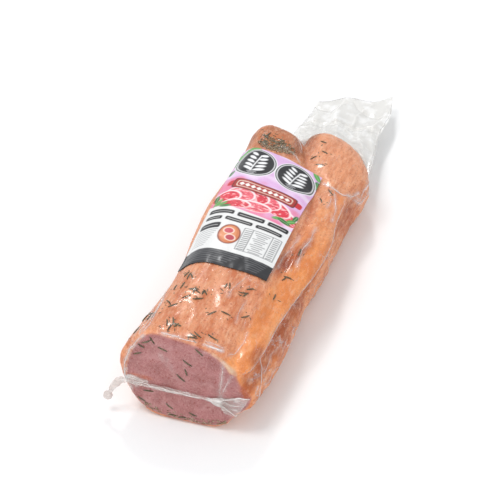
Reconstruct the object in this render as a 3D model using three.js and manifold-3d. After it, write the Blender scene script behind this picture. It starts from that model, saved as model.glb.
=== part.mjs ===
// A smoked pork loin in a clear shrink bag, resting on its flat underside.
// The loin lies along Y: its cut face looks to -Y and its two rounded ends to +Y, with the bag's
// empty tail behind them. Millimetres, +Z up. The origin is the middle of the resting face.
import * as THREE from "three";
import { mergeGeometries, mergeVertices } from "three/addons/utils/BufferGeometryUtils.js";
import Module from "manifold-3d";

const wasm = await Module();
wasm.setup();

// ---------- Driving sizes ----------

const FRONT = -175; // where the cut face meets the ground plane
const FACE_LEAN = 0.14; // the cut face leans back by this much for each mm of height
const FACE_ROUND = 4.5; // radius of the edge round the cut face
const FACE_SHARE = { bottom: 0.98, top: 0.91 }; // the flat cut face's size against the section
const FLAT_SINK = 1.6; // the underside is pressed flat by this much
const MAIN = { end: 164, cap: 27 }; // the main muscle's far end and how long its rounding is
const SIDE = { start: -45, end: 195, cap: 36, skew: 0.56 }; // the side muscle, skewed at its end
const STRAP = { start: -173, end: 128, width: 27, thickness: 10, tilt: 0.34 };
const DIMPLE = { x: -20, y: 118, depth: 5, reachX: 24, reachY: 15 };
const TUCK = { x: 50, z: 14, depth: 7.5, reachX: 22, reachZ: 24, length: 55 }; // front lower corner
const HERB = { length: 7.5, width: 1.5, height: 1.3 };
const LABEL = { front: -66, back: 102, left: -44, right: 31, slant: 12, thickness: 0.4, gap: 0.5 };
const TAIL = { thickness: 0.7, mouth: 16, gap: 1.2, cleft: { left: -22, right: 0 } };
const SEAM = { gap: 0.45, depth: 1.5, height: 29 }; // the gathered seam across the cut face

// Grid steps of each surface: around or across it, then along it.
const STEPS = { main: [50, 40], side: [32, 24], strap: [14, 30], label: [14, 22], tail: [18, 16] };

// ---------- Small helpers ----------

const { cos, sin, abs, sign, min, max, hypot, round, PI } = Math;
const { lerp, smoothstep, clamp } = THREE.MathUtils;

// A curve through evenly spaced values, read between the two given ends.
const along = (start, end, ...values) => {
  const curve = new THREE.SplineCurve(values.map((value, i) => new THREE.Vector2(i, value)));
  return (place) => curve.getPoint(clamp((place - start) / (end - start), 0, 1)).y;
};

// cos or sin raised to a power, keeping its sign: this squares up an ellipse.
const squared = (value, power) => sign(value) * abs(value) ** power;

// A round mound of height 1 that fades out at the two reaches.
const mound = (dx, dy, reachX, reachY) => 1 - smoothstep(hypot(dx / reachX, dy / reachY), 0, 1);

// Moves each vertex of a three.js surface to the place that its own uv pair gives.
function reshape(geometry, pointAt) {
  const position = geometry.getAttribute("position");
  const uv = geometry.getAttribute("uv");
  for (let i = 0; i < position.count; i++) {
    position.setXYZ(i, ...pointAt(uv.getX(i), uv.getY(i)));
  }
  return geometry;
}

// A closed body from a sphere's grid. pointAt(turn, ring) gives the place of each grid point:
// turn runs from 0 to 1 round the body, for the loin from -X over the top, and ring from 0 at one
// pole to 1 at the other, for the loin from front to back.
function body([around, rings], pointAt) {
  const geometry = new THREE.SphereGeometry(1, around, rings);
  const isPole = (ring) => ring === 0 || ring === 1;
  return reshape(geometry, (turn, ring) => pointAt(isPole(ring) ? 0 : turn % 1, ring));
}

// A thin closed sheet, its upper and lower faces split into triangles alike.
// pointAt(u, v, side) gives a place on the lower face (side 0) or the upper one (side 1).
function sheet([across, lengthwise], pointAt) {
  const faceOf = (side) => reshape(new THREE.PlaneGeometry(1, 1, across, lengthwise), (u, v) =>
    pointAt(round(u * across) / across, round(v * lengthwise) / lengthwise, side));
  const upper = faceOf(1);
  const lower = faceOf(0);
  const index = lower.getIndex();
  for (let i = 0; i < index.count; i += 3) {
    const first = index.getX(i);
    index.setX(i, index.getX(i + 1));
    index.setX(i + 1, first);
  }
  const steps = 2 * (across + lengthwise);
  const rim = reshape(new THREE.PlaneGeometry(1, 1, steps, 1), (t, side) => {
    const [u, v] = onRim(round(t * steps), across, lengthwise);
    return pointAt(u, v, round(side));
  });
  return mergeGeometries([upper, lower, rim]);
}

// The place on a sheet's rim after the given number of grid steps, as a uv pair.
function onRim(step, across, lengthwise) {
  const half = across + lengthwise;
  if (step <= across) return [step / across, 0];
  if (step <= half) return [1, (step - across) / lengthwise];
  if (step <= half + across) return [(half + across - step) / across, 1];
  return [0, (2 * half - step) / lengthwise];
}

// A closed three.js geometry as a manifold-3d solid, and back.
function toSolid(geometry) {
  geometry.deleteAttribute("normal");
  geometry.deleteAttribute("uv");
  const merged = mergeVertices(geometry, 1e-4);
  return new wasm.Manifold(new wasm.Mesh({
    numProp: 3,
    vertProperties: merged.getAttribute("position").array,
    triVerts: new Uint32Array(merged.index.array),
  }));
}

function toGeometry(solid) {
  const { vertProperties, triVerts } = solid.getMesh();
  const geometry = new THREE.BufferGeometry();
  geometry.setAttribute("position", new THREE.BufferAttribute(vertProperties, 3));
  geometry.setIndex(new THREE.BufferAttribute(triVerts, 1));
  geometry.computeVertexNormals();
  return geometry;
}

const joined = (solids) => solids.reduce((sum, solid) => sum.add(solid));

// ---------- The main muscle ----------

// The cross-section, as shares of its width from the left and of its height: from the left side
// over the crown, down the right shoulder to a notch, the flank's bulge and the flat underside.
const SECTION = new THREE.CatmullRomCurve3([
  [0, 0.57], [0.03, 0.74], [0.11, 0.9], [0.24, 1], [0.42, 0.98], [0.6, 0.94], [0.75, 0.86],
  [0.85, 0.73], [0.885, 0.61], [0.94, 0.54], [0.985, 0.46], [1, 0.39], [0.98, 0.31],
  [0.92, 0.215], [0.84, 0.125], [0.755, 0.05], [0.65, 0], [0.37, 0], [0.21, 0.07], [0.09, 0.25],
].map(([across, up]) => new THREE.Vector3(across, up, 0)), true);
const SECTION_MIDDLE = 0.52; // height of its middle, as a share

// Its left side, right side and crown from the front to the far end, which narrows to the left.
const mainLeft = along(FRONT, MAIN.end, -60, -55, -50, -50, -54.5, -56, -52, -50.5, -53);
const mainRight = along(FRONT, MAIN.end, 56, 59, 60, 58, 59.5, 56, 43, 21, 8);
const mainCrown = along(FRONT, MAIN.end, 79, 79, 79, 78, 74);

// How far back the leaning face carries a point, which fades out along the loin.
const leanAt = (y, z) => FACE_LEAN * z * (1 - smoothstep(y, FRONT, MAIN.end));

function mainPoint(turn, ring) {
  const { x: across, y: up } = SECTION.getPoint(turn);
  const { y, swell } = mainRing(ring, lerp(FACE_SHARE.bottom, FACE_SHARE.top, up));
  const left = mainLeft(y);
  const right = mainRight(y);
  const crown = mainCrown(y);
  const x = lerp((left + right) / 2, lerp(left, right, across), swell);
  const z = max(crown * lerp(SECTION_MIDDLE, up, swell) - FLAT_SINK, 0);
  const { depth, reachX, reachY } = DIMPLE;
  const isTop = z > crown / 2;
  const dent = isTop ? depth * mound(x - DIMPLE.x, y - DIMPLE.y, reachX, reachY) : 0;
  const tuck = TUCK.depth * mound(x - TUCK.x, z - TUCK.z, TUCK.reachX, TUCK.reachZ);
  const nearFace = 1 - smoothstep(y, FRONT, FRONT + TUCK.length);
  return [x - tuck * nearFace, y + leanAt(y, z), z - dent];
}

// Each ring's place along the loin, and how far it swells to the full section: the first rings
// fill the cut face, the next ones round its edge, and the last ones close the far end.
function mainRing(ring, faceShare) {
  const [faceEnd, edgeEnd, capStart] = [0.08, 0.13, 0.84];
  const capY = MAIN.end - MAIN.cap;
  if (ring < faceEnd) return { y: FRONT, swell: faceShare * ring / faceEnd };
  if (ring < edgeEnd) {
    const turn = (ring - faceEnd) / (edgeEnd - faceEnd) * PI / 2;
    return { y: FRONT + FACE_ROUND * (1 - cos(turn)), swell: lerp(faceShare, 1, sin(turn)) };
  }
  if (ring < capStart) {
    const share = (ring - edgeEnd) / (capStart - edgeEnd);
    return { y: lerp(FRONT + FACE_ROUND, capY, share), swell: 1 };
  }
  const turn = (ring - capStart) / (1 - capStart) * PI / 2;
  return { y: capY + MAIN.cap * sin(turn), swell: squared(cos(turn), 0.72) };
}

// ---------- The side muscle ----------

// It starts hidden in the main one, carries the right flank back and ends in the lower dome.
const sideLeft = along(SIDE.start, SIDE.end, 14, 8, 2, -4, -7, -8);
const sideRight = along(SIDE.start, SIDE.end, 48, 59, 60, 61.5, 66, 61);
const sideCrown = along(SIDE.start, SIDE.end, 44, 52, 56, 59, 60, 58);

function sidePoint(turn, ring) {
  const [startEnd, capStart] = [0.1, 0.6];
  const angle = turn * 2 * PI;
  const startTurn = min(1, ring / startEnd) * PI / 2;
  const capTurn = max(0, (ring - capStart) / (1 - capStart)) * PI / 2;
  const capY = SIDE.end - SIDE.cap;
  const y = ring < capStart ? lerp(SIDE.start, capY, ring / capStart)
    : capY + SIDE.cap * sin(capTurn);
  const swell = sin(startTurn) * squared(cos(capTurn), 0.85);
  const middle = (sideRight(y) + sideLeft(y)) / 2;
  const x = middle - (sideRight(y) - middle) * swell * squared(cos(angle), 0.85);
  const up = sin(angle);
  const reach = up > 0 ? (1 - SECTION_MIDDLE) * squared(up, 0.8) : 0.55 * up;
  const z = max(sideCrown(y) * (SECTION_MIDDLE + reach * swell), 0);
  const pivot = 8;
  return [x, y - SIDE.skew * (x - pivot) * smoothstep(y, 60, SIDE.end), z];
}

// ---------- The fat strap ----------

// A band of fat along the right shoulder, whose outer lip overhangs the flank.
const lipX = along(STRAP.start, STRAP.end, 54, 54, 52.5, 56, 61, 63, 59, 60, 56);
const lipZ = along(STRAP.start, STRAP.end, 52, 52, 50, 50, 50, 50, 49, 48, 44);
const strapSwell = along(STRAP.start, STRAP.end, 1.3, 1.3, 0.95, 0.9, 1, 1, 0.9, 0.9, 0.7);

function strapPoint(turn, ring) {
  const angle = turn * 2 * PI;
  const endward = (1 - cos(ring * PI)) / 2; // sets the rings closer together at both ends
  const y = lerp(STRAP.start, STRAP.end, lerp(ring, endward, 0.6));
  const close = squared(sin(PI * ring), 0.35);
  const inward = STRAP.width / 2 * (1 + squared(cos(angle), 0.7) * close);
  const thick = STRAP.thickness / 2 * strapSwell(y) * close * squared(sin(angle), 0.8);
  const x = lipX(y) - inward * cos(STRAP.tilt) + thick * sin(STRAP.tilt);
  const z = lipZ(y) + inward * sin(STRAP.tilt) + thick * cos(STRAP.tilt);
  return [x, y + leanAt(y, z), z];
}

const meat = joined([
  toSolid(body(STEPS.main, mainPoint)),
  toSolid(body(STEPS.side, sidePoint)),
  toSolid(body(STEPS.strap, strapPoint)),
]);

// Finds where a straight line first meets the meat, and the surface's direction there.
const meatMesh = new THREE.Mesh(toGeometry(meat));
const FAR_OFF = 400; // a distance well outside the loin

function onMeat(from, direction) {
  const ray = new THREE.Raycaster(new THREE.Vector3(...from), new THREE.Vector3(...direction));
  const [hit] = ray.intersectObject(meatMesh);
  return { point: hit.point, normal: hit.face.normal };
}

const fromAbove = (x, y) => onMeat([x, y, FAR_OFF], [0, 0, -1]);
const fromFront = (x, z) => onMeat([x, -FAR_OFF, z], [0, 1, 0]);
const fromBack = (x, z) => onMeat([x, FAR_OFF, z], [0, -1, 0]);

// ---------- The dried herbs ----------

// Clusters on the top: x, y, spread and how many bits.
const TOP_HERBS = [
  [-21, -150, 5, 5], [-14, -107, 9, 7], [7, -90, 4, 2], [21, -83, 5, 3], [41, -71, 1, 1],
  [4, -121, 2, 1], [14, -119, 2, 1], [28, -111, 2, 1], [-28, -84, 6, 3], [-32, -101, 6, 2],
  [-31, -122, 6, 2], [3, -155, 4, 3], [12, -148, 3, 2], [43, -44, 4, 2], [42, -12, 3, 2],
  [39, 70, 3, 1], [44, 84, 2, 1], [17, 153, 3, 1], [23, 138, 3, 1], [15, 131, 2, 1],
  [24, 119, 2, 1], [-20, 121, 10, 14], [-32, 131, 5, 3], [-42, -135, 6, 3], [-48, -156, 3, 1],
];

// Single bits on the cut face: x, z and the turn of each within the face.
const FACE_HERBS = [
  [-36, 69, 0.5], [-31, 71, 2.2], [-40, 64, -0.4], [-22, 65, -0.3], [-43, 56, 0.4], [8, 69, -0.6],
  [-1, 57, -0.5], [-2, 48, -1.2], [-6, 42, -0.6], [-33, 23, 0.1], [-39, 14, -0.4], [-15, 13, -0.6],
  [5, 10, -0.3], [-12, 5, 0], [-4, 4.5, 0.2],
];

// Repeatable numbers from 0 to 1.
let state = 7;
function random() {
  state = (state * 1664525 + 1013904223) % 2 ** 32;
  return state / 2 ** 32;
}

// A bit of herb: a thin needle half sunk in the surface.
function herbBit({ point, normal: up }, turn) {
  const lengthwise = new THREE.Vector3(cos(turn), sin(turn) * abs(up.z), sin(turn) * abs(up.y));
  lengthwise.addScaledVector(up, -lengthwise.dot(up)).normalize();
  const sideways = up.clone().cross(lengthwise);
  const place = new THREE.Matrix4().makeBasis(lengthwise, sideways, up).setPosition(point);
  const stretch = lerp(0.7, 1.15, random());
  const bit = new THREE.SphereGeometry(0.5, 5, 3).rotateZ(-PI / 2);
  bit.scale(HERB.length * stretch, HERB.width, HERB.height).applyMatrix4(place);
  return toSolid(bit);
}

function topHerbs() {
  const bits = [];
  for (const [x, y, spread, count] of TOP_HERBS) {
    for (let i = 0; i < count; i++) {
      const angle = random() * 2 * PI;
      const reach = spread * random() ** 0.5;
      const place = fromAbove(x + reach * cos(angle), y + reach * sin(angle));
      bits.push(herbBit(place, random() * PI));
    }
  }
  return bits;
}

const faceHerbs = () => FACE_HERBS.map(([x, z, turn]) => herbBit(fromFront(x, z), turn));

// ---------- The label ----------

// It drapes over the crown and bridges the hollows, its surface a hair off the bag.
const [LABEL_COLUMNS, LABEL_ROWS] = STEPS.label;
const labelX = (u) => lerp(LABEL.left, LABEL.right, u);
const labelY = (u, v) => lerp(LABEL.front, LABEL.back, v) - LABEL.slant * (u - 0.5) * (v - 0.5);

// The heights of a row with its hollows bridged by straight lines.
const bridged = (heights) => heights.map((height, i) => {
  let highest = height;
  for (let a = 0; a < i; a++) {
    for (let b = i + 1; b < heights.length; b++) {
      highest = max(highest, lerp(heights[a], heights[b], (i - a) / (b - a)));
    }
  }
  return highest;
});

// The bag's height under each place of the label's grid, row by row.
const labelHeights = Array.from({ length: LABEL_ROWS + 1 }, (_, row) =>
  bridged(Array.from({ length: LABEL_COLUMNS + 1 }, (_, column) => {
    const u = column / LABEL_COLUMNS;
    return fromAbove(labelX(u), labelY(u, row / LABEL_ROWS)).point.z;
  })));

function labelPoint(u, v, side) {
  const heights = labelHeights[round(v * LABEL_ROWS)];
  const column = round(u * LABEL_COLUMNS);
  const before = max(column - 1, 0);
  const after = min(column + 1, LABEL_COLUMNS);
  const span = labelX(after / LABEL_COLUMNS) - labelX(before / LABEL_COLUMNS);
  const slope = (heights[after] - heights[before]) / span;
  const offset = (LABEL.gap + LABEL.thickness * side) / hypot(1, slope);
  return [labelX(u) - slope * offset, labelY(u, v), heights[column] + offset];
}

// ---------- The bag's empty tail ----------

// Its sides and height from its base to its far edge, which is cut on the slant.
const tailLeft = along(0, 1, -25, -28, -26, -25);
const tailRight = along(0, 1, 59, 55, 49, 50, 42);
const tailHeight = along(0, 1, 31, 27, 22, 19, 17);
const tailFar = along(0, 1, 279, 284, 288, 293, 308);

// Its base follows the backs of the two muscle ends and bridges the cleft between them.
function tailBase(x) {
  const back = (place) => fromBack(place, tailHeight(0)).point.y + TAIL.gap;
  const { left, right } = TAIL.cleft;
  if (x <= left || x >= right) return back(x);
  return lerp(back(left), back(right), (x - left) / (right - left));
}

function tailPoint(u, v, side) {
  const x = lerp(tailLeft(v), tailRight(v), u);
  const y = lerp(tailBase(lerp(tailLeft(0), tailRight(0), u)), tailFar(u), v);
  const gathers = 2.2 * sin(5.5 * PI * u) * (1 - smoothstep(v, 0.3, 1));
  const folds = 2.5 * sin(2.6 * PI * (u - 0.35 * v) + 0.6) * smoothstep(v, 0.1, 0.9);
  const thickness = lerp(TAIL.mouth, TAIL.thickness, smoothstep(v, 0, 0.3));
  return [x, y, tailHeight(v) + gathers + folds + (side - 0.5) * thickness];
}

// ---------- The bag's gathered front seam ----------

const OUT = new THREE.Vector3(0, -1, FACE_LEAN).normalize();
const SEAM_LEVEL = SEAM.gap + SEAM.depth; // how far off the face the seam's middle runs

// A place in front of the cut face, at a height and a distance off it.
function offFace(x, z, distance) {
  const place = new THREE.Vector3(x, FRONT + FACE_LEAN * z, z);
  return place.addScaledVector(OUT, distance);
}

// A closed strand of film along a curve. sizeAt gives its half width and half depth.
function strand(points, steps, sizeAt) {
  const curve = new THREE.CatmullRomCurve3(points);
  return body(steps, (turn, ring) => {
    const angle = turn * 2 * PI;
    const close = squared(sin(PI * clamp(ring, 0, 1)), 0.4);
    const across = curve.getTangent(ring).cross(OUT).normalize();
    const [halfWidth, halfDepth] = sizeAt(ring);
    const place = curve.getPoint(ring);
    place.addScaledVector(across, -halfWidth * close * cos(angle));
    place.addScaledVector(OUT, halfDepth * close * sin(angle));
    return place.toArray();
  });
}

// A round lump of film, such as the knot.
function lump(place, ...reaches) {
  return new THREE.SphereGeometry(1, 10, 8).scale(...reaches).translate(...place.toArray());
}

// The ridge across the face, which rises a little to its left end.
const ridge = () => strand([[-52, 1.5], [-40, 0.3], [-20, 0.2], [0, -0.2], [14, -0.2], [26, 0]]
  .map(([x, rise]) => offFace(x, SEAM.height + rise, SEAM_LEVEL)), [8, 22],
(ring) => [lerp(2.7, 1.8, ring), SEAM.depth]);

// The twisted ear beyond the ridge's left end, which hangs down to a bulb.
const ear = () => strand([[-49, 30, 0.5], [-56, 29.5, 1.5], [-61, 24, 3], [-65, 16, 4]]
  .map(([x, z, off]) => offFace(x, z, SEAM_LEVEL + off)), [8, 10],
(ring) => [lerp(3.9, 2.8, ring), 2.3]);

const bulb = () => lump(offFace(-65.5, 14.5, SEAM_LEVEL + 4), 3.9, 3.4, 4.2);
const knot = () => lump(offFace(25.5, SEAM.height - 0.8, SEAM_LEVEL + 0.6), 5.2, 1.9, 4.6);

// A pleated web of film that spreads from the knot to the right edge of the face.
function web() {
  const pleats = 3;
  return sheet([10, 6], (u, v, side) => {
    const top = lerp(31, 38, u);
    const bottom = lerp(26.5, 17.5, min(1, 2.5 * u));
    const x = lerp(25, lerp(42, 53, v), u);
    const pleat = 0.9 * u * (1 - 0.4 * u) * (1 + cos(v * pleats * 2 * PI));
    return offFace(x, lerp(bottom, top, v), SEAM.gap + pleat + 0.8 * side).toArray();
  });
}

// ---------- Assembly ----------

const part = new THREE.Group();

function add(name, solid, material) {
  const mesh = new THREE.Mesh(toGeometry(solid), material);
  mesh.name = name;
  part.add(mesh);
}

const pork = new THREE.MeshStandardMaterial({ color: 0xe0986a, roughness: 0.45 });
const print = new THREE.MeshStandardMaterial({ color: 0xf0eef0, roughness: 0.35 });
const film = new THREE.MeshStandardMaterial({ color: 0xe9e7e4, roughness: 0.2 });
const foldedFilm = new THREE.MeshStandardMaterial({ color: 0xe6ddda, roughness: 0.25 });

add("loin", joined([meat, ...topHerbs(), ...faceHerbs()]), pork);
add("label", toSolid(sheet(STEPS.label, labelPoint)), print);
add("bag_tail", toSolid(sheet(STEPS.tail, tailPoint)), film);
add("bag_gather", joined([ridge(), ear(), bulb(), knot(), web()].map(toSolid)), foldedFilm);

export default part;
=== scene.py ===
# %% [markdown]
# # A smoked pork loin in a shrink bag
# A boneless loin of pork is cured, strewn with herbs, smoked, and sealed in a clear bag that
# shrinks tight on it. A printed label lies on top, the bag's empty tail stands out behind, and its
# front end is gathered into a seam across the cut face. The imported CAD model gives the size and
# place of every piece. This script dresses it: meat, herbs, film, label, tail and seam.

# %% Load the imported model
import math

import bmesh
import bpy
import numpy as np
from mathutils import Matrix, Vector, noise
from mathutils.bvhtree import BVHTree
from mathutils.kdtree import KDTree


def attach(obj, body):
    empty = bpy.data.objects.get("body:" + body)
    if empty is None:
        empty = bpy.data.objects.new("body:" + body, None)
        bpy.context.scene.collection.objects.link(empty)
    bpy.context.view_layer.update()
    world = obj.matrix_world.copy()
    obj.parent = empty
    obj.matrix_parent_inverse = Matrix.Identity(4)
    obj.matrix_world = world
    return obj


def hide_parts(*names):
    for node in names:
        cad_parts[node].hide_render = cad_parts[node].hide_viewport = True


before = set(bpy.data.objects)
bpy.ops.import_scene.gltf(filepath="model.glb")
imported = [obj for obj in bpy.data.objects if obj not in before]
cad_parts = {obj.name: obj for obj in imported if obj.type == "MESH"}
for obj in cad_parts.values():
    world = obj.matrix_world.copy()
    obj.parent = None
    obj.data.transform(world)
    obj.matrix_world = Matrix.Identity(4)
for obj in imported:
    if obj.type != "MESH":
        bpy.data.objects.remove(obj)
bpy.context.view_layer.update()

print("CAD nodes:", sorted(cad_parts))

# %% [markdown]
# ## Sizes
# The CAD source works in millimetres, and so do the sizes here: one factor turns them into
# Blender's metres. The cut face leans back a little, so a plane is kept for it. `fade` is the soft
# step that blends one zone into the next, and most marks on the meat and the label are ovals, which
# `oval_share` measures.

# %% Millimetres, the cut face's plane, a soft step and ovals
MM = 0.001
FRONT = -175.0
FACE_LEAN = 0.14


def fade(values, start, end):
    """0 at start, 1 at end and smooth between them, for numbers or arrays."""
    share = np.clip((values - start) / (end - start), 0, 1)
    return share * share * (3 - 2 * share)


def turned(a, b, middle, turn):
    """Places a, b as seen from a middle, along axes turned by degrees."""
    c, s = math.cos(math.radians(turn)), math.sin(math.radians(turn))
    da, db = a - middle[0], b - middle[1]
    return da * c + db * s, db * c - da * s


def oval_share(a, b, middle, reach, turn=0.0):
    """How far out in an oval each place lies: 0 in its middle and 1 on its edge."""
    across, along = turned(a, b, middle, turn)
    return np.hypot(across / reach[0], along / reach[1])


# %% [markdown]
# ## Camera
# The photograph looks down at the cut face from the right, from nearly two metres away with a long
# lens, so the far end hardly shrinks. The camera is placed by its aim, two angles and the distance.

# %% Place the camera
AIM = Vector((-9.5, 18, 30.3)) * MM
AZIMUTH, ELEVATION = math.radians(18), math.radians(38)
DISTANCE = 1784 * MM
FRAME_WIDTH = 431.7 * MM
SENSOR = 36.0


def new_object(name, data):
    """An object in the scene."""
    obj = bpy.data.objects.new(name, data)
    bpy.context.scene.collection.objects.link(obj)
    return obj


back = Vector((
    math.sin(AZIMUTH) * math.cos(ELEVATION), -math.cos(AZIMUTH) * math.cos(ELEVATION),
    math.sin(ELEVATION)))
camera = new_object("camera", bpy.data.cameras.new("camera"))
camera.location = AIM + back * DISTANCE
camera.rotation_euler = back.to_track_quat("Z", "Y").to_euler()
camera.data.lens = SENSOR * DISTANCE / FRAME_WIDTH
camera.data.sensor_width = SENSOR
bpy.context.scene.camera = camera
print("lens", round(camera.data.lens, 1), "mm")

# %% [markdown]
# ## Materials: small helpers
# Colours are written as the hex codes that a picture shows, and Cycles wants them linear. A node
# tree is easier to read when one call adds a node with its settings and its links.

# %% Colour and node helpers


def linear(code):
    """A hex colour such as "#e39e7a" as linear red, green, blue and alpha."""
    parts = [int(code[i:i + 2], 16) / 255 for i in (1, 3, 5)]
    return (*[c / 12.92 if c <= 0.04045 else ((c + 0.055) / 1.055) ** 2.4 for c in parts], 1.0)


def add(tree, kind, sockets=None, **settings):
    """Adds a shader node, sets its properties, and sets its sockets or links them."""
    node = tree.nodes.new("ShaderNode" + kind)
    for name, value in settings.items():
        setattr(node, name, value)
    for name, value in (sockets or {}).items():
        if isinstance(value, bpy.types.NodeSocket):
            tree.links.new(value, node.inputs[name])
        else:
            node.inputs[name].default_value = value
    return node


def new_material(name):
    """An empty material and its node tree."""
    material = bpy.data.materials.new(name)
    material.use_nodes = True
    tree = material.node_tree
    tree.nodes.clear()
    return material, tree


def pattern(tree, space, grain, detail, low, high, strength=1.0):
    """A noise with waves of grain mm, read as 0 at low and as strength at high."""
    waves = add(tree, "TexNoise", {
        "Vector": space, "Scale": 1 / (grain * MM), "Detail": detail}).outputs["Fac"]
    return add(tree, "MapRange", {
        "Value": waves, "From Min": low, "From Max": high, "To Max": strength}).outputs["Result"]


# %% [markdown]
# ## Light and floor
# A pale floor and a bright, even sky give the studio's soft light. The key lamp, high on the left,
# models the form. A small lamp behind draws the white glints on the film, and a wide one in front
# fills the cut face. Each has its place and its side in metres, and its power in watts.

# %% Light the set
world = bpy.data.worlds.new("studio")
world.use_nodes = True
sky = world.node_tree.nodes["Background"].inputs
sky["Color"].default_value, sky["Strength"].default_value = linear("#f4f6fa"), 0.77
bpy.context.scene.world = world
bpy.context.scene.view_settings.view_transform = "Standard"


def lamp(name, place, size, power):
    """A square area lamp that looks at the middle of the part."""
    data = bpy.data.lights.new(name, "AREA")
    data.size = size
    data.energy = power
    obj = new_object(name, data)
    obj.location = place
    obj.rotation_euler = Vector(place).to_track_quat("Z", "Y").to_euler()


lamp("key", (-0.6, -0.4, 1.9), 0.7, 11)
lamp("back_glint", (-0.5, 1.2, 1.5), 0.25, 8)
lamp("front_fill", (0.5, -1.7, 0.9), 0.9, 9)
print("lamps:", [light.name for light in bpy.data.lights])

# %% The floor
# Matt white paper scatters light evenly and mirrors nothing, so only soft shadows show on it.
floor_material, tree = new_material("matt_white_paper_backdrop")
surface = add(tree, "BsdfPrincipled", {"Base Color": linear("#f7f7f6"), "Roughness": 0.9})
add(tree, "OutputMaterial", {"Surface": surface.outputs[0]})
FLOOR_SIZE = 6.0
FLOOR_DROP = 0.2 * MM # below the part, so that the two surfaces don't flicker


def object_of(name, bm):
    """An object from a bmesh, which is freed."""
    mesh = bpy.data.meshes.new(name)
    bm.to_mesh(mesh)
    bm.free()
    return new_object(name, mesh)


bm = bmesh.new()
bmesh.ops.create_grid(bm, x_segments=1, y_segments=1, size=FLOOR_SIZE / 2)
bmesh.ops.translate(bm, verts=bm.verts, vec=(0, 0, -FLOOR_DROP))
floor = object_of("floor", bm)
floor.data.materials.append(floor_material)
print("floor:", FLOOR_SIZE, "m wide")

# %% [markdown]
# ## Working on meshes
# Every piece goes through the same few steps. `make_piece` turns a bmesh into an object that rides
# on the part. `apply_modifiers` bakes its modifiers into the mesh, so that later steps can read
# and move the real points. `points_of` and `set_points` hand them over in millimetres.

# %% Mesh helpers


def make_piece(name, bm):
    """An object that rides on the part, from a bmesh."""
    obj = object_of(name, bm)
    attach(obj, "root")
    return obj


def dress(obj, material):
    """Gives an object its material, and lets it ride on the part."""
    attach(obj, "root")
    obj.data.materials.clear()
    obj.data.materials.append(material)


def apply_modifiers(obj):
    depsgraph = bpy.context.evaluated_depsgraph_get()
    mesh = bpy.data.meshes.new_from_object(obj.evaluated_get(depsgraph))
    obj.modifiers.clear()
    old = obj.data
    obj.data = mesh
    bpy.data.meshes.remove(old)


def modify(obj, kind, **settings):
    modifier = obj.modifiers.new(kind.title(), kind)
    for name, value in settings.items():
        setattr(modifier, name, value)


def remesh(obj, voxel, smoothing):
    """Rebuilds the surface in even squares of voxel mm, and evens out the facets."""
    modify(obj, "REMESH", mode="VOXEL", voxel_size=voxel * MM, use_smooth_shade=True)
    if smoothing:
        modify(obj, "SMOOTH", factor=0.5, iterations=smoothing)
    apply_modifiers(obj)


def points_of(obj):
    """The mesh's points in millimetres, one row each."""
    flat = np.empty(3 * len(obj.data.vertices), np.float32)
    obj.data.vertices.foreach_get("co", flat)
    return flat.reshape(-1, 3).astype(float) / MM


def normals_of(obj):
    flat = np.empty(3 * len(obj.data.vertices), np.float32)
    obj.data.vertex_normals.foreach_get("vector", flat)
    return flat.reshape(-1, 3).astype(float)


def set_points(obj, points):
    obj.data.vertices.foreach_set("co", (points * MM).astype(np.float32).ravel())
    obj.data.update()


def set_mask(obj, name, values):
    """Stores one number for each point, for the material to read."""
    attribute = obj.data.attributes.new(name, "FLOAT", "POINT")
    attribute.data.foreach_set("value", np.asarray(values, np.float32))


def bumps(points, lengths, seed=0.0, octaves=2):
    """Smooth noise from about -1 to 1 with the given wave lengths in mm along x, y and z."""
    places = points / np.array(lengths) + seed
    return np.array([noise.fractal(Vector(p), 1.0, 2.0, octaves) for p in places])


def copy_of_node(node, name):
    """A CAD node's triangles, merged into one connected mesh, as a new object."""
    bm = bmesh.new()
    bm.from_mesh(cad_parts[node].data)
    bmesh.ops.remove_doubles(bm, verts=bm.verts, dist=1e-6)
    obj = make_piece(name, bm)
    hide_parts(node)
    return obj


def tree_of(obj):
    """A search tree of an object's surface, for finding points on it."""
    bm = bmesh.new()
    bm.from_mesh(obj.data)
    found = BVHTree.FromBMesh(bm)
    bm.free()
    return found


OUTSIDE = 400 * MM # far enough out for a look at any piece
LOOKS = { # where a look at places a, b starts, and its direction
    "above": (lambda a, b: (a, b, OUTSIDE), (0, 0, -1)),
    "front": (lambda a, b: (a, -OUTSIDE, b), (0, 1, 0)),
    "right": (lambda a, b: (OUTSIDE, a, b), (-1, 0, 0)),
}


def look_at(tree, look, a, b):
    """The point and normal, in metres, where a look at places in mm meets a surface."""
    start_of, direction = LOOKS[look]
    return tree.ray_cast(Vector(start_of(a * MM, b * MM)), Vector(direction))[:2]


# %% [markdown]
# ## The meat
# The loin has one main muscle with a band of orange fat along its right shoulder, and a second
# muscle behind it. The CAD solid already has that form. A voxel remesh of a copy gives it an even
# skin of small squares, which later steps move. The CAD's own facets are too large for that, and
# sculpting by hand couldn't be repeated.

# %% Remesh the loin
MEAT_VOXEL = 1.4
meat = copy_of_node("loin", "pork_loin")
remesh(meat, MEAT_VOXEL, smoothing=12)
print("meat:", len(meat.data.vertices), "points")

# %% [markdown]
# ### Dents and fibres
# The muscle's seams and the pull of the bag leave long shallow dents in the top. Smoking firms the
# fibres into fine lengthwise ridges, and under the fat the lean is crumpled. Each dent is a soft
# oval pressed in along the normals, and noise stretched along the loin makes the fibres.

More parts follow.
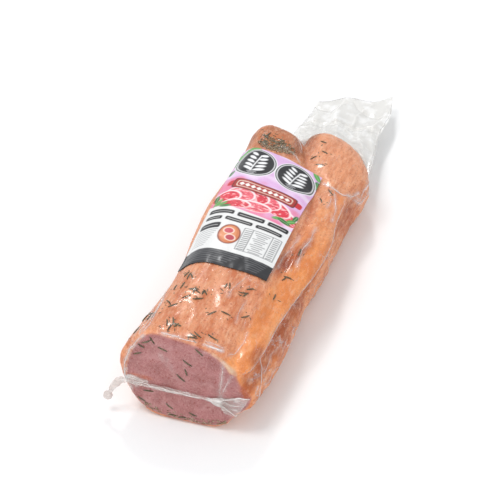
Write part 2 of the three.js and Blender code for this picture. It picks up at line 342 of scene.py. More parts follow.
# %% Lay in dents and fibres
# Each dent: x, y, reach across, reach along, depth, turn in degrees from the loin's length.
DENTS = [
    (34, -24, 7, 26, 2.6, 4), (26, -52, 7, 14, 1.4, 30), (37, 14, 6, 22, 2.0, -6),
    (38, 60, 6, 26, 1.6, -4), (18, -84, 5, 18, 1.1, 24), (2, -112, 6, 20, 0.9, 30),
    (28, -104, 5, 30, 1.0, 12), (-24, -120, 8, 22, 0.9, -20), (8, -140, 10, 8, 0.7, 60),
    (33, -145, 6, 12, 1.8, 10), (43, -118, 4, 10, 1.2, -20), (41, -22, 3, 24, -1.3, 2),
    (13, 128, 8, 14, 1.0, -30), (36, 90, 6, 16, 1.4, 20),
]
DENT_EDGE = 1.4 # how far out a dent fades to nothing, as a share of its reach
TOP_SIDE = (38, 46) # heights between which the dents start
LOWER_FLANK = (42, 49) # heights between which the crumpled lean of the right side ends
FLANK_START = (26, 40) # x between which that side starts
CUT_EDGE = (0.7, 2.6) # mm behind the cut plane where the cut face ends
RESTING = (1, 8) # heights below which nothing moves, so that the underside stays flat
FIBRE_HEIGHT, CRUMPLE_HEIGHT, GRAIN_HEIGHT = 0.42, 1.3, 0.12
MEAT_LIFT = 0.3 # the meat's underside, so that the film fits below it


def dent_depths(points):
    """How deep the dents are at each point: each one is a soft oval on the top side."""
    x, y, z = points.T
    depths = np.zeros(len(points))
    for cx, cy, across, along, depth, turn in DENTS:
        out = oval_share(x, y, (cx, cy), (across, along), turn)
        depths += depth * (1 - fade(out, 0, DENT_EDGE))
    return depths * fade(z, *TOP_SIDE)


points, normals = points_of(meat), normals_of(meat)
from_face = points[:, 1] - FRONT - FACE_LEAN * points[:, 2]
is_cut = 1 - fade(from_face, *CUT_EDGE)
is_flank = (1 - fade(points[:, 2], *LOWER_FLANK)) * fade(points[:, 0], *FLANK_START)
lift = FIBRE_HEIGHT * bumps(points, (4.5, 32, 5.5), 3.1) * (1 - 0.8 * is_cut)
lift += CRUMPLE_HEIGHT * is_flank * bumps(points, (9, 15, 7), 8.4, 3)
lift += GRAIN_HEIGHT * bumps(points, (2.5, 6, 2.5), 5)
lift -= dent_depths(points) * (1 - is_cut)
points += normals * (lift * fade(points[:, 2], *RESTING))[:, None]
points[:, 2] = np.maximum(points[:, 2], MEAT_LIFT)
set_points(meat, points)
print(len(DENTS), "dents; moved by", round(lift.min(), 2), "to", round(lift.max(), 2), "mm")

# %% [markdown]
# ### Zones of colour
# Smoke turns the fat orange, leaves the top a peach colour and browns the lean flank, and the knife
# bares pink meat. One zone is painted shade: the long dip beside the fat, the furrow under its lip,
# a pocket and a band on the cut face, and the front end of the fat are darkened brown where shade
# falls. Where each zone lies is a matter of form, so it is worked out here and stored on the
# points. The material then breaks the zones up with its own patterns.

# %% Mark the zones
BORDER_Y = (-175, -151, -125, -82, -29, 16, 58, 110) # the left border of the fat
BORDER_X = (30, 30, 33, 34, 37, 37, 40, 44)
END_X = (10, 20, 30, 42, 49, 56, 60, 64) # where the right lobe starts
END_Y = (122, 112, 100, 91, 88, 89, 99, 108)
LEAN_OUTLINE = [ # x and z round the bare pink lean of the cut face
    (54, 39), (54, 45), (51, 50), (46, 53), (41, 51.5), (34, 55), (30, 60), (25, 64.5), (19, 67.5),
    (9, 72.5), (-4.5, 74), (-16, 76.5), (-29, 78), (-38, 72), (-46, 61), (-50, 50), (-52, 40),
    (-52, 33), (-49, 23.5), (-45, 14), (-38, 8), (-27, 4), (-19, 3), (0, 2.5), (18, 2.5), (27, 4.5),
    (36, 9), (45.6, 22),
]
LEAN_MIDDLE = (2, 38)
LEAN_EDGE = (-0.9, 0.4) # mm in from the outline, where the lean starts and is full
HOLLOW_MIDDLE = (38.5, -21)
WANDER = 2.5 # mm that the borders stray to each side


def lean_reach(x, z):
    """How far a place lies inside the outline of the lean, in mm, measured towards its middle."""
    cx, cz = LEAN_MIDDLE
    rays = sorted((math.atan2(b - cz, a - cx), math.hypot(a - cx, b - cz)) for a, b in LEAN_OUTLINE)
    angles, reaches = zip(*rays)
    turn = np.arctan2(z - cz, x - cx)
    return np.interp(turn, angles, reaches, period=2 * math.pi) - np.hypot(x - cx, z - cz)


x, y, z = points.T
wander = WANDER * bumps(points, (14, 18, 14), 2.2)
# The strap of fat ends at the right lobe and grows patchy towards the back.
is_fat = fade(x + wander - np.interp(y, BORDER_Y, BORDER_X), -3, 3) * fade(z, 41, 46)
is_right_end = fade(x + wander, 4, 12) * fade(y - np.interp(x, END_X, END_Y), -1.2, 1.2)
is_fat *= 1 - is_right_end
is_fat *= 1 - fade(y, -10, 45) * (0.35 + 0.35 * fade(bumps(points, (7, 16, 9), 21.0), -0.3, 0.3))
is_left_end = (1 - fade(x + wander, 2, 14)) * fade(y, 98, 118)
# Painted shade: the long dip beside the fat and the furrow under its lip are darkened brown.
slant_x = x - 0.3 * (y - HOLLOW_MIDDLE[1]) + 0.8 * wander
hollow_shade = 1 - fade(oval_share(slant_x, y, HOLLOW_MIDDLE, (9, 36)), 0.35, 1.2)
hollow_shade *= fade(z, 46, 52)
groove_shade = (1 - fade(np.abs(z - 42 - wander), 1, 6)) * fade(x, 40, 48) * (1 - fade(y, 60, 120))
# Painted shade on the cut face: a dark pocket at its right end and a darker brown band in the
# crease just above the gathered seam.
face_shade = (1 - fade(oval_share(x, z, (49, 42), (6, 9)), 0.5, 1.2)) * 0.85
face_shade += (1 - fade(oval_share(x, z, (-41, 34.5), (12, 2.8)), 0.4, 1.2)) * 0.65
face_shade *= is_cut
# The bare lean fills the cut face, with pale fat beyond it at the upper right.
inside = lean_reach(x + 0.25 * wander, z)
in_lean = fade(inside, *LEAN_EDGE)
is_face_fat = (1 - in_lean) * (1 - fade(from_face + 0.5 * wander, 1.6, 3.0))
is_face_fat *= fade(x + 0.6 * (z - 60), 20, 26) * fade(z, 44, 50)
is_lean = is_cut * in_lean
# The skin is browner low round the face and on the left side.
rim = (1 - fade(from_face, 5, 14)) * (1 - is_lean) * (1 - fade(z + 0.3 * np.abs(x), 40, 62))
tan = 0.3 * (1 - fade(from_face + 2 * wander, 5, 26)) * (1 - is_fat)
tan += 0.6 * (1 - fade(x, -52, -36))
rim = np.maximum(rim, tan * (1 - is_cut) * (1 - is_right_end))
# Painted shade: the front end of the fat is darkened brown.
strap_end_shade = 1 - fade(oval_share(x, y, (48, -143), (5, 13)), 0.4, 1.3)
face_shade += 0.8 * strap_end_shade * fade(z, 44, 50)
for name, values in {
    "cut": is_lean, "fat": is_fat * (1 - is_cut),
    "flank": np.clip(is_flank * (1 - 0.6 * is_right_end) + rim, 0, 1),
    "left_end": is_left_end, "right_end": is_right_end, "face_fat": is_face_fat,
    # painted shade: the dips, the pockets and the fat's front end
    "painted_shade": np.clip(hollow_shade + 0.8 * groove_shade + face_shade, 0, 1),
    "fibred": np.clip(1 - is_lean - 0.65 * is_fat, 0, 1), "skin": 1 - is_cut,
}.items():
    set_mask(meat, name, values)
print("zones: lean", round(float(is_lean.mean()), 3), "fat", round(float(is_fat.mean()), 3))

# %% [markdown]
# ### Smoked pork
# Cured pork is smooth and moist, and it lets a little light into it. Its colour comes in three
# sizes: blotches of a few centimetres, streaks that follow the fibres, and fine specks. First come
# the blotches: each zone has a plain and a blotched colour, and its mix node goes over the last.

# %% Smoked pork
PORK_ZONES = [ # attribute, colour where smooth, colour where blotched
    ("left_end", "#c0764d", "#8f522d"),
    ("right_end", "#e59e75", "#d48a61"),
    ("fat", "#ec9a5b", "#da8145"),
    ("flank", "#e3935f", "#b85c2b"),
    ("cut", "#ab7270", "#9b6360"),
    ("face_fat", "#d3b193", "#c48f76"),
    # painted shade: the darkened brown of the dips and pockets
    ("painted_shade", "#b95f30", "#8f3c1c"),
]
pork, tree = new_material("smoked_pork_cured_and_sliced")
coords = add(tree, "TexCoord").outputs["Object"]
along = add(tree, "Mapping", {
    "Vector": coords, "Scale": (1.0, 0.3, 1.0)}).outputs["Vector"]
blotches = pattern(tree, along, 11, 4.0, 0.42, 0.66)
colour = add(tree, "Mix", {
    0: blotches, 6: linear("#e29b73"), 7: linear("#c56f44")}, data_type="RGBA").outputs[2]
for zone, plain, blotched in PORK_ZONES:
    pair = add(tree, "Mix", {
        0: blotches, 6: linear(plain), 7: linear(blotched)}, data_type="RGBA").outputs[2]
    share = add(tree, "Attribute", attribute_name=zone).outputs["Fac"]
    colour = add(tree, "Mix", {
        0: share, 6: colour, 7: pair}, data_type="RGBA").outputs[2]
print("pork:", len(PORK_ZONES) + 1, "zones of colour")

# %% [markdown]
# ### Fibres, veins and specks
# Muscle fibres are about a tenth of a millimetre thick, which no pixel of the render can hold, so
# the streaks are drawn as bundles 2 to 3 mm wide. The cut face has pale patches of fat and dark
# specks of blood. The first streaks also raise the bump, for the grain that the mesh is too coarse
# to hold, and a faint scatter below the surface lets the meat look moist and a little see-through.

# %% Fibres, veins and specks
PORK_GRAIN = [ # colour, zone, pattern space, grain in mm, detail, noise read as 0 and 1, strength
    ("#f5c8a8", "fibred", along, 2.2, 3.0, 0.50, 0.72, 0.40),
    ("#b0592f", "fibred", along, 3.0, 3.0, 0.50, 0.32, 0.45),
    ("#cda39f", "cut", coords, 9.0, 2.0, 0.50, 0.70, 0.30),
    ("#c99a97", "cut", coords, 1.3, 1.0, 0.50, 0.66, 0.30),
    ("#8c3f3a", "cut", coords, 1.7, 1.0, 0.62, 0.70, 0.75),
    ("#c27341", "skin", coords, 2.1, 3.0, 0.50, 0.68, 0.34),
    ("#f7cfab", "skin", along, 2.6, 3.0, 0.52, 0.72, 0.24),
    ("#a34f37", "fibred", coords, 1.6, 1.0, 0.62, 0.72, 0.60),
]
streaks = []
for code, zone, space, grain, detail, low, high, strength in PORK_GRAIN:
    amount = pattern(tree, space, grain, detail, low, high, strength)
    share = add(tree, "Attribute", attribute_name=zone).outputs["Fac"]
    amount = add(tree, "Math", {0: amount, 1: share}, operation="MULTIPLY").outputs[0]
    colour = add(tree, "Mix", {
        0: amount, 6: colour, 7: linear(code)}, data_type="RGBA").outputs[2]
    streaks.append(amount)
relief = add(tree, "Bump", {
    "Height": streaks[0], "Strength": 0.5, "Distance": 0.5 * MM}).outputs["Normal"]
surface = add(tree, "BsdfPrincipled", {
    "Base Color": colour, "Roughness": 0.5, "Normal": relief, "IOR": 1.4,
    "Specular IOR Level": 0.25, "Subsurface Weight": 0.1,
    "Subsurface Radius": (1.0, 0.35, 0.2), "Subsurface Scale": 2.0 * MM})
add(tree, "OutputMaterial", {"Surface": surface.outputs[0]})
dress(meat, pork)
print("pork:", len(PORK_GRAIN), "grains over the zones")

# %% [markdown]
# ## The herbs
# Rosemary is rubbed on before smoking: whole needles in loose clusters, and the crumbs that break
# off them. The CAD model carries the larger needles, so this script repeats its random draws and
# lays a curved needle on each of them. A pile of short bits fills the dimple in the left end, and
# more of them cling below the cut face. A needle is a small ball with few faces, drawn long.

# %% Repeat the CAD's random numbers


class Draws:
    """The same numbers from 0 to 1 as the part's source draws."""

    def __init__(self, state):
        self.state = state

    def next(self):
        self.state = (self.state * 1664525 + 1013904223) % 2**32
        return self.state / 2**32


TOP_HERBS = [ # x, y, spread and how many needles
    (-21, -150, 5, 5), (-14, -107, 9, 7), (7, -90, 4, 2), (21, -83, 5, 3), (41, -71, 1, 1),
    (4, -121, 2, 1), (14, -119, 2, 1), (28, -111, 2, 1), (-28, -84, 6, 3), (-32, -101, 6, 2),
    (-31, -122, 6, 2), (3, -155, 4, 3), (12, -148, 3, 2), (43, -44, 4, 2), (42, -12, 3, 2),
    (39, 70, 3, 1), (44, 84, 2, 1), (17, 153, 3, 1), (23, 138, 3, 1), (15, 131, 2, 1),
    (24, 119, 2, 1), (-20, 121, 10, 14), (-32, 131, 5, 3), (-42, -135, 6, 3), (-48, -156, 3, 1),
]
FACE_HERBS = [ # x, z and the turn of each within the face
    (-36, 69, 0.5), (-31, 71, 2.2), (-40, 64, -0.4), (-22, 65, -0.3), (-43, 56, 0.4),
    (8, 69, -0.6), (-1, 57, -0.5), (-2, 48, -1.2), (-6, 42, -0.6), (-33, 23, 0.1),
    (-39, 14, -0.4), (-15, 13, -0.6), (5, 10, -0.3), (-12, 5, 0), (-4, 4.5, 0.2),
]
HERB_LENGTH, HERB_WIDTH, HERB_HEIGHT = 7.5, 1.35, 1.25
HERB_STRETCH = 1.2 # a pointed needle has to be longer than the CAD's blunt one to look as long
meat_tree = tree_of(meat)
print("herbs:", len(TOP_HERBS), "clusters and", len(FACE_HERBS), "needles on the face")

# %% Shape one needle and lay it on the meat


def add_needle(bm, spot, turn, length, width, height, curl):
    """A curved needle with a point at each end, its belly just inside the surface."""
    place, up = spot
    along = Vector((math.cos(turn), math.sin(turn) * abs(up.z), math.sin(turn) * abs(up.y)))
    along = (along - up * along.dot(up)).normalized()
    side = up.cross(along)
    ball = bmesh.ops.create_uvsphere(bm, u_segments=5, v_segments=6, radius=0.5)["verts"]
    for vert in ball:
        share = vert.co.z
        bend = curl * (0.25 - share * share)
        across = vert.co.x * width + bend * length
        lift = (vert.co.y + 0.32) * height
        vert.co = place + (along * share * length + side * across + up * lift) * MM


def spot_near(numbers, x, y, reach_x, reach_y, power=0.5):
    """A drawn spot on the meat's top, in an oval round x, y; a higher power crowds its middle."""
    angle, share = numbers.next() * 2 * math.pi, numbers.next() ** power
    return look_at(
        meat_tree, "above",
        x + reach_x * share * math.cos(angle), y + reach_y * share * math.sin(angle))


def lay_needle(bm, spot, turn):
    """Lays one of the CAD's needles, of a drawn length, with a curl that is this script's own."""
    length = HERB_LENGTH * (0.7 + 0.45 * draws.next())
    curl = 0.6 * (shaping.next() - 0.5)
    add_needle(bm, spot, turn, HERB_STRETCH * length, HERB_WIDTH, HERB_HEIGHT, curl)


def add_bit(bm, spot, length, width, height, least_turn, turn_range, curl_range):
    """Lays a short bit of herb with a drawn turn and curl."""
    turn = least_turn + turn_range * shaping.next()
    add_needle(bm, spot, turn, length, width, height, curl_range * (shaping.next() - 0.5))


draws = Draws(7)
shaping = Draws(11)
bm = bmesh.new()
for x, y, spread, count in TOP_HERBS:
    for _ in range(count):
        lay_needle(bm, spot_near(draws, x, y, spread, spread), draws.next() * math.pi)
for x, z, turn in FACE_HERBS:
    lay_needle(bm, look_at(meat_tree, "front", x, z), turn)
needles = make_piece("herb_needles", bm)
print("needles:", len(needles.data.vertices), "points")

# %% [markdown]
# ### Crumbs, the pile and the dark rim
# Rubbed herbs break, and the crumbs gather round the needles, in the dimple of the left end and
# below the cut face. The same small ball is laid many times, short and turned at random, because at
# this size only the scatter shows, and not the shape of a single crumb.

# %% Crumbs round the clusters, the pile in the dimple and the dark rim below the face
CRUMBS_PER_NEEDLE, CRUMB_SPREAD, CRUMB_LENGTH = 2, 4, 2.6
bm = bmesh.new()
for x, y, spread, count in TOP_HERBS:
    for _ in range(CRUMBS_PER_NEEDLE * count):
        reach = spread + CRUMB_SPREAD
        spot = spot_near(shaping, x, y, reach, reach)
        add_bit(bm, spot, CRUMB_LENGTH * (0.5 + shaping.next()), 0.6, 0.5, 0, math.pi, 0.3)
crumbs = make_piece("herb_crumbs", bm)

PILE_BITS, PILE_MIDDLE, PILE_REACH = 480, (-17.5, 119), (17, 10.5)
bm = bmesh.new()
for _ in range(PILE_BITS):
    spot = spot_near(shaping, *PILE_MIDDLE, *PILE_REACH, power=0.6)
    add_bit(bm, spot, 0.9 + 2.0 * shaping.next() ** 2, 0.8, 1.0, 0, math.pi, 0.4)
RIM_BITS, RIM_SPREAD = 130, 4.5
RIM_X, RIM_Z = (-36, -27, -19, 0, 18, 27, 32), (8.6, 5.6, 4.0, 3.0, 3.2, 5.4, 7.8)
for _ in range(RIM_BITS):
    share = 0.5 + 0.5 * math.sin(math.pi * (shaping.next() - 0.5)) # crowds both ends of the rim
    x = RIM_X[0] + (RIM_X[-1] - RIM_X[0]) * share
    z = np.interp(x, RIM_X, RIM_Z) + RIM_SPREAD * shaping.next() ** 2
    spot = look_at(meat_tree, "front", x, z)
    add_bit(bm, spot, 0.9 + 2.2 * shaping.next() ** 2, 0.8, 0.7, -0.6, 1.2, 0.3)
pile = make_piece("herb_bits", bm)
print("crumbs and bits:", len(crumbs.data.vertices) + len(pile.data.vertices), "points")

# %% [markdown]
# ### Dried rosemary
# A dried needle is grey-green outside with a pale dull edge, and smoke darkens it unevenly. One
# noise with waves of a few millimetres gives each needle its own shade, and a finer one runs along
# it like veins. Rubbed bits have lost their smoked skin: they are browner, change shade from bit to
# bit, and show more of the pale inside. Both are dry, so they have no gloss of their own.

# %% Dried herb
HERBS = [ # material, its pieces, mm of a patch, dull side, light side, edge and the edge's share
    ("dried_rosemary_smoked", (needles, crumbs), 5.0, "#38331f", "#66604a", "#a08c66", 0.5),
    ("dried_herb_bits_rubbed", (pile,), 1.8, "#5f3d20", "#8a7550", "#dccab2", 1.0),
]
for name, pieces, patch_mm, dull, light, edge, edge_share in HERBS:
    herb, tree = new_material(name)
    coords = add(tree, "TexCoord").outputs["Object"]
    shade = pattern(tree, coords, patch_mm, 2.0, 0.35, 0.65)
    colour = add(tree, "Mix", {
        0: shade, 6: linear(dull), 7: linear(light)}, data_type="RGBA").outputs[2]
    vein = pattern(tree, coords, 0.8, 1.0, 0.5, 0.7, edge_share)
    colour = add(tree, "Mix", {
        0: vein, 6: colour, 7: linear(edge)}, data_type="RGBA").outputs[2]
    surface = add(tree, "BsdfPrincipled", {"Base Color": colour, "Roughness": 0.7})
    add(tree, "OutputMaterial", {"Surface": surface.outputs[0]})
    for piece in pieces:
        piece.data.shade_smooth()
        dress(piece, herb)
print("herb materials:", len(HERBS))

# %% [markdown]
# ## The film
# Shrink film clings to the meat, but it is stretched straight over grooves and tents over the
# herbs. That is what closing a shape does: the meat and herbs are remeshed together, pushed out by
# a few millimetres, remeshed again so that the grooves close, and drawn back in.

# %% Shrink the film on
FILM_VOXEL = 1.6
CLOSING = 2.6 # grooves narrower than about twice this are bridged
FILM_GAP = 0.45

bm = bmesh.new()
for source in (meat, needles):
    bm.from_mesh(source.data)
film = make_piece("film_skin", bm)
remesh(film, FILM_VOXEL, smoothing=0)
modify(film, "DISPLACE", strength=CLOSING * MM, mid_level=0.0)
apply_modifiers(film)
remesh(film, FILM_VOXEL, smoothing=0)
modify(film, "DISPLACE", strength=(FILM_GAP - CLOSING) * MM, mid_level=0.0)
modify(film, "SMOOTH", factor=0.5, iterations=4)
apply_modifiers(film)
points = points_of(film)
points[:, 2] = np.maximum(points[:, 2], 0)
set_points(film, points)
print("film:", len(film.data.vertices), "points")

# %% [markdown]
# ### Clear film
# Film is nearly invisible where it lies flat: it only mirrors, faintly from the front and strongly
# at a glancing angle, which is what the Fresnel node gives. A Principled shader whose alpha is
# that number does it: as a mirror (metallic) where the film is clear, and as dull white where it is
# creased or where a highlight is painted on it. Fine wrinkles run with the pull of the bag, along
# the loin, and their ridges are painted white as glints.

# %% Clear shrink film
MIRROR_LIMIT = 0.06 # a real bag's gloss breaks up at glancing angles, so it doesn't grow further
RIDGE = 0.035 # how near its middle value the noise has to be to make a wrinkle's ridge


def film_material(name, milk, wrinkle_mm, glint_share):
    """Clear film, with milk as the two colours of its creased, layered and highlight-painted
    places.
    """
    material, tree = new_material(name)
    coords = add(tree, "TexCoord").outputs["Object"]
    pulled = add(tree, "Mapping", {
        "Vector": coords, "Scale": (1.0, 0.3, 1.0)}).outputs["Vector"]
    wrinkle = add(tree, "TexNoise", {
        "Vector": pulled, "Scale": 1 / (wrinkle_mm * MM), "Detail": 2.0, "Roughness": 0.5,
        "Distortion": 0.8}).outputs["Fac"]
    patch = pattern(tree, coords, 11, 2.0, 0.5, 0.62)
    wrinkled = add(tree, "Attribute", attribute_name="wrinkled").outputs["Fac"]
    off = add(tree, "Math", {0: wrinkle, 1: 0.5}, operation="SUBTRACT").outputs[0]
    off = add(tree, "Math", {0: off}, operation="ABSOLUTE").outputs[0]
    ridge = add(tree, "MapRange", {
        "Value": off, "From Min": RIDGE, "From Max": 0.0}).outputs["Result"]
    for factor in (patch, wrinkled):
        ridge = add(tree, "Math", {0: ridge, 1: factor}, operation="MULTIPLY").outputs[0]
    milk_and_highlight = add(tree, "Attribute", attribute_name="milk_and_highlight").outputs["Fac"]
    # Painted glints: the wrinkles' ridges turn white, as strong as glint_share, unless the mask is
    # whiter.
    white = add(tree, "Math", {
        0: ridge, 1: glint_share}, operation="MULTIPLY").outputs[0]
    white = add(tree, "Math", {0: white, 1: milk_and_highlight}, operation="MAXIMUM").outputs[0]
    waves = add(tree, "Math", {0: wrinkle, 1: wrinkled}, operation="MULTIPLY").outputs[0]
    height = add(tree, "Math", {
        0: waves, 1: 0.5, 2: ridge}, operation="MULTIPLY_ADD").outputs[0]
    bump = add(tree, "Bump", {
        "Height": height, "Strength": 0.6, "Distance": 0.8 * MM}).outputs["Normal"]
    mirror = add(tree, "Fresnel", {"IOR": 1.36, "Normal": bump}).outputs["Fac"]
    mirror = add(tree, "Math", {
        0: mirror, 1: MIRROR_LIMIT}, operation="MINIMUM").outputs[0]
    alpha = add(tree, "Math", {
        0: mirror, 1: white}, operation="ADD", use_clamp=True).outputs[0]
    metal = add(tree, "Math", {0: mirror, 1: alpha}, operation="DIVIDE").outputs[0]
    colour = add(tree, "Mix", {
        0: patch, 6: linear(milk[0]), 7: linear(milk[1])}, data_type="RGBA").outputs[2]
    surface = add(tree, "BsdfPrincipled", {
        "Base Color": colour, "Roughness": 0.16, "Metallic": metal,
        "Alpha": alpha, "Normal": bump})
    add(tree, "OutputMaterial", {"Surface": surface.outputs[0]})
    return material


clear_film = film_material("clear_shrink_film", ("#f4ebe6", "#fffdfb"), 6.0, 0.4)
dress(film, clear_film)
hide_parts("loin")
print("film material:", len(clear_film.node_tree.nodes), "nodes")

# %% [markdown]
# ### Folds and painted highlights in the film
# Where the bag has more film than meat, the surplus stands up in thin folds: round the cut face,
# up from the knot, and along the line where the right end narrows. Each fold is a thin strand whose
# places are found by looking at the film from above, from the front or from the right. Round the
# stronger ones the film turns milky, which a mask on its points holds. Film that is folded double
# passes less light and scatters more, so a fold looks white. Some strands are painted highlights:
# the white strokes along the top edge of the cut face. The folds along the lip of the fat and up
# its inner edge at the front are drawn white as painted highlights too.

# %% Lay the folds and the painted highlights
FOLDS_AND_HIGHLIGHTS = [ # look, width, milkiness round it, and the places it runs through
    # a fold along the lip of the fat, drawn white as a painted highlight
    ("right", 0.8, 0.1, [(-163, 53), (-145, 54), (-118, 53), (-79, 50), (-40, 50), (0, 50),
                         (30, 51), (60, 51), (86, 53)]),
    ("front", 1.1, 0.35, [(-52, 31), (-54, 43), (-50, 57), (-44, 67), (-39, 73)]),
    ("above", 0.6, 0.15, [(-40, -161), (-38, -146), (-41, -118), (-43, -88)]),
    ("front", 0.6, 0.2, [(27, 31), (27, 43), (28, 53), (28, 63)]),
    ("front", 0.45, 0.15, [(28, 32), (31, 43), (36, 52)]),
    ("front", 1.1, 0.45, [(46, 54), (52, 48), (54.6, 40), (54.6, 30), (51, 22)]),
    ("right", 0.7, 0.1, [(-134, 55), (-135, 45), (-146, 38), (-156, 33), (-162, 25)]),
    ("above", 1.0, 0.35, [(34, 95), (42, 91), (49, 88), (55, 89), (59, 99), (62, 108)]),
    ("right", 0.7, 0.25, [(103, 44), (108, 38), (117, 41), (128, 40), (140, 36)]),
    ("right", 0.5, 0.3, [(99, 43), (108, 34), (120, 34), (134, 31)]),
    ("above", 0.5, 0.2, [(44, 89), (49, 78), (53, 64), (55, 48)]),
    ("above", 0.4, 0.15, [(41, 88), (46, 74), (47, 60)]),
    ("above", 0.5, 0.2, [(46, -28), (45, -5), (47, 10), (46, 28)]),
    ("above", 0.5, 0.2, [(33, -38), (33, -22), (35, -10), (37, 13)]),
    ("above", 0.4, 0.15, [(28, -60), (31, -48), (30, -32)]),
    ("above", 0.7, 0.25, [(-45, -99), (-40, -116), (-40, -137), (-43, -161)]),
    ("above", 0.4, 0.15, [(-46, -119), (-44, -142), (-48, -165)]),
    ("above", 0.4, 0.15, [(-47, -82), (-44, -98), (-45, -116)]),
    # painted highlights: the white strokes along the top edge of the cut face
    ("above", 1.3, 0.3, [(-25, -161), (-18, -161), (-9, -160)]),
    ("above", 0.7, 0.2, [(-11, -161), (-3, -161), (4, -160)]),
    ("above", 1.5, 0.35, [(11, -159), (18, -159), (25, -157)]),
    ("above", 0.5, 0.15, [(10, -156), (17, -155), (24, -154)]),
    # a crease up the inner edge of the fat at the front, drawn white as a painted highlight
    ("above", 0.6, 0.15, [(30, -157), (33, -150), (35, -138), (35, -124)]),
    ("right", 0.4, 0.08, [(-150, 35), (-138, 29), (-126, 32), (-112, 25), (-94, 27)]),
    ("right", 0.4, 0.08, [(-104, 35), (-90, 31), (-77, 34), (-60, 27), (-47, 31)]),
    ("right", 0.4, 0.08, [(-28, 27), (-12, 30), (6, 23), (26, 30), (42, 25)]),
    ("right", 0.9, 0.3, [(-170, 22), (-152, 18), (-130, 17), (-106, 20)]),
    ("right", 0.4, 0.12, [(-158, 44), (-140, 39), (-118, 41), (-96, 38)]),
    ("front", 1.5, 0.6, [(-53, 30), (-50, 31.5), (-44, 31), (-36, 31)]),
    ("front", 0.9, 0.4, [(-53, 29), (-48, 27), (-42, 27)]),
    ("front", 0.9, 0.5, [(-53, 30), (-54, 35), (-53, 41)]),
    ("front", 1.2, 0.5, [(-54, 31), (-50, 33), (-46, 33.2), (-41, 32)]),
    ("front", 1.1, 0.5, [(-54, 29), (-51, 26), (-49, 23.5), (-48, 20)]),
    ("front", 0.9, 0.35, [(-53, 29.6), (-48, 27.4), (-44, 26)]),
    ("above", 0.4, 0.15, [(10, -99), (10, -89), (13, -78), (16, -68)]),
    ("above", 0.4, 0.15, [(24, -122), (23, -107), (24, -94)]),
    ("above", 0.5, 0.15, [(-9, 150), (-3, 143), (1, 136), (3, 129)]),
    ("above", 0.5, 0.15, [(-10, 121), (-2, 117), (7, 109)]),
]
STEP = 1.2 # mm between a fold's points
LONGEST_GAP = 9.0 # mm: a point farther from the last one lies behind an edge and is left out


def smooth_between(table, places, axis=0):
    """Reads a table between its rows, or its columns, with a cubic curve (Catmull-Rom)."""
    size = table.shape[axis]
    base = np.clip(np.floor(places).astype(int), 0, size - 2)
    t = places - base
    weights = (-t / 2 + t**2 - t**3 / 2, 1 - 2.5 * t**2 + 1.5 * t**3,
               t / 2 + 2 * t**2 - 1.5 * t**3, -t**2 / 2 + t**3 / 2)
    spread = [-1 if i == axis else 1 for i in range(table.ndim)]
    return sum(
        np.take(table, np.clip(base + step, 0, size - 1), axis=axis) * weight.reshape(spread)
        for step, weight in zip((-1, 0, 1, 2), weights))


def add_strand(curve, places, width):
    """A strand through places in mm, thickest in its middle."""
    spline = curve.splines.new("POLY")
    spline.points.add(len(places) - 1)
    for index, (point, place) in enumerate(zip(spline.points, places)):
        point.co = (*(Vector(place) * MM), 1)
        point.radius = width / 2 * (0.25 + 0.75 * math.sin(math.pi * index / (len(places) - 1)))


def strand_places(tree, look, corners):
    """Points in mm where a slightly wavering line through corners meets a surface."""
    corners = np.array(corners, float)
    length = np.hypot(*np.diff(corners, axis=0).T).sum()
    table = smooth_between(corners, np.linspace(0, len(corners) - 1, round(length / STEP)))
    along = np.linspace(0, length, len(table))[:, None] * (1, 0, 0)
    table[:, 0] += 0.7 * bumps(along, (9, 1, 1), length)
    table[:, 1] += 0.7 * bumps(along, (9, 1, 1), length + 50)
    places = []
    for a, b in table:
        place, normal = look_at(tree, look, a, b)
        if not place:
            continue
        place = (place + normal * 0.1 * MM) / MM
        if not places or (place - places[-1]).length < LONGEST_GAP:
            places.append(place)
    return places


def film_strands(name, tree, rows, milk_and_highlight, spread, length, seed, fewest=1):
    """One mesh of film strands, and the places of each.

    A row is a look, a width and the places it runs through. milk_and_highlight is how white the
    strands are, milky on folds and a painted highlight on the strands for highlights, give or take
    spread, which changes over length in mm. A strand with fewer places than fewest has slipped off
    the surface and is left out.
    """
    curve = bpy.data.curves.new(name, "CURVE")
    curve.dimensions = "3D"
    curve.bevel_depth = 1.0 * MM # which the radius at each point multiplies
    curve.bevel_resolution = 1
    curve.use_fill_caps = True
    laid = []
    for look, width, corners in rows:
        laid.append(strand_places(tree, look, corners))
        if len(laid[-1]) >= fewest:
            add_strand(curve, laid[-1], width)
    drawn = new_object(name, curve)
    depsgraph = bpy.context.evaluated_depsgraph_get()
    mesh = bpy.data.meshes.new_from_object(drawn.evaluated_get(depsgraph))
    bpy.data.objects.remove(drawn)
    bpy.data.curves.remove(curve)
    obj = new_object(name, mesh)
    milk = milk_and_highlight + spread * bumps(points_of(obj), (length, length, length), seed)
    set_mask(obj, "milk_and_highlight", milk)
    set_mask(obj, "wrinkled", np.ones(len(milk)))
    obj.data.shade_smooth()
    print(name + ":", len(laid), "strands with", len(milk), "points")
    return obj, laid


rows = [(look, width, corners) for look, width, _, corners in FOLDS_AND_HIGHLIGHTS]
folds_and_highlights, laid = film_strands("film_folds_and_highlights", tree_of(film), rows, 0.44, 0.3, 6, 2.0)
fold_and_highlight_film = film_material("clear_film_folded_double_and_painted_highlights", ("#efe4de", "#ffffff"), 3.0, 0.2)
dress(folds_and_highlights, fold_and_highlight_film)
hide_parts("loin")
# the milk round each strand, which is painted highlight round the strands for highlights
milk_and_highlight_places = [
    (place * MM, milk) for places, (_, _, milk, _) in zip(laid, FOLDS_AND_HIGHLIGHTS) for place in places]

